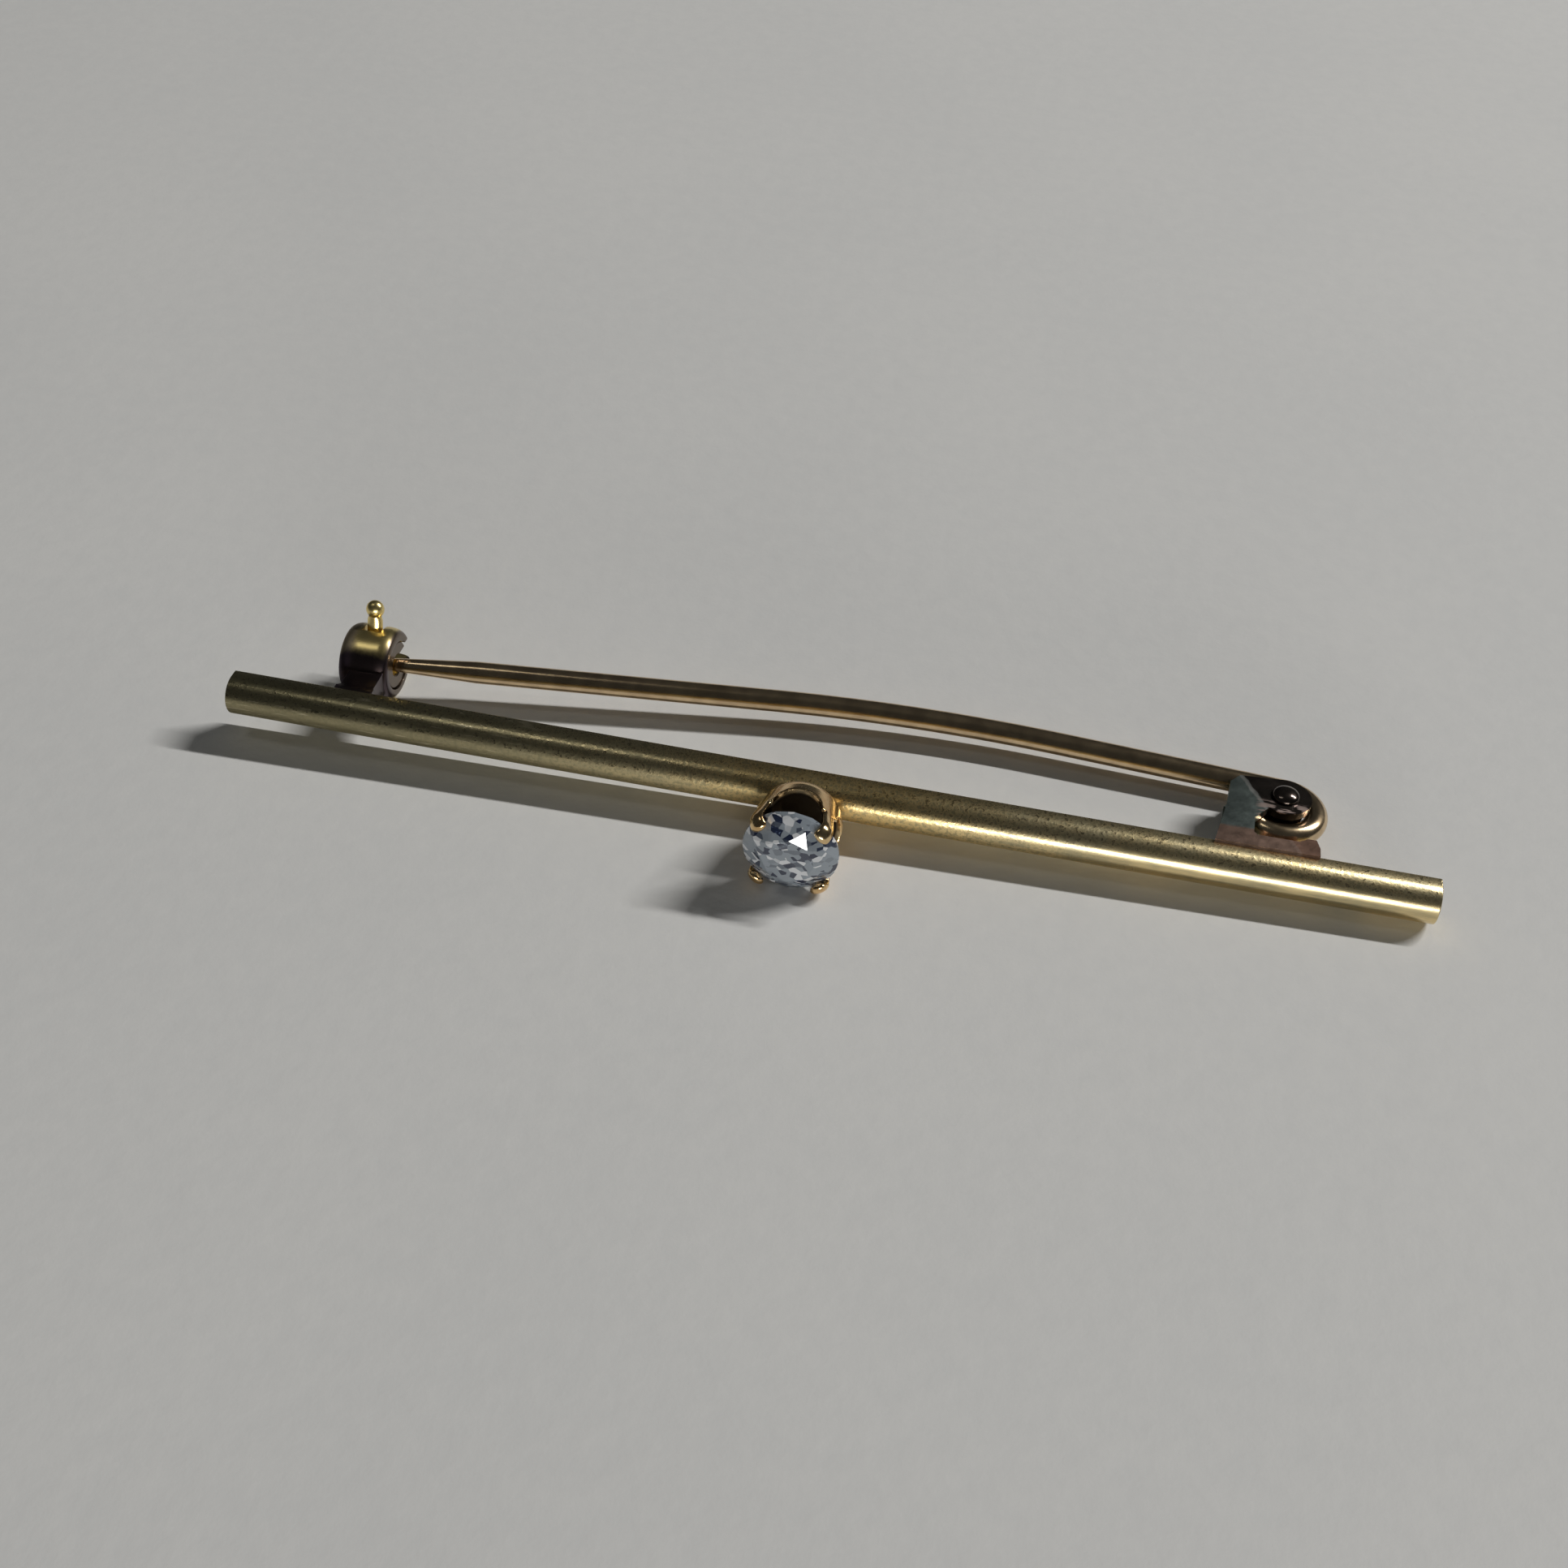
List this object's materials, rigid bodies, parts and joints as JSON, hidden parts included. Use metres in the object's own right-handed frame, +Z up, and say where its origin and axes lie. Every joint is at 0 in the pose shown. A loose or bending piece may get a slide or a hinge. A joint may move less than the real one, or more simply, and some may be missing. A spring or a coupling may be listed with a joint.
{
  "type": "bar brooch",
  "caption": "Slim half-round bar brooch with a round stone in a claw setting, a bowed pin on a rivet hinge and a turning safety catch.",
  "frame": {"origin": "on the table under the middle of the brooch's box, the brooch lying on its lower edge on stone, catch and hinge", "axes": "+X along the bar from the catch to the hinge, +Y from the stone's face to the pin, +Z up from the table across the bar's width"},
  "size_m": [0.052, 0.0112, 0.0044],
  "materials": {
    "body_gold": "satin gold, polished along the lower part of the bar",
    "stone": "cut and polished, colourless",
    "catch_gold": "polished gold",
    "pin_gold": "drawn and polished gold wire",
    "rivet_gold": "polished gold"
  },
  "bodies": {
    "brooch": {"brooch_body": "body_gold", "stone": "stone", "hinge_rivet": "rivet_gold"},
    "catch": {"catch_rotor": "catch_gold"},
    "pin": {"pin_stem": "pin_gold"}
  },
  "joints": [
    {"name": "pin_hinge", "type": "hinge", "parent": "brooch", "child": "pin", "pos_m": [0.0197, 0.00288, 0.001], "axis": [-0.016, -0.0907, -0.9958], "range_deg": [0, 75]},
    {"name": "catch_lever", "type": "hinge", "parent": "brooch", "child": "catch", "pos_m": [-0.02082, 0.00269, 0.00166], "axis": [-0.9999, 0, 0.016], "range_deg": [0, 70]}
  ]
}
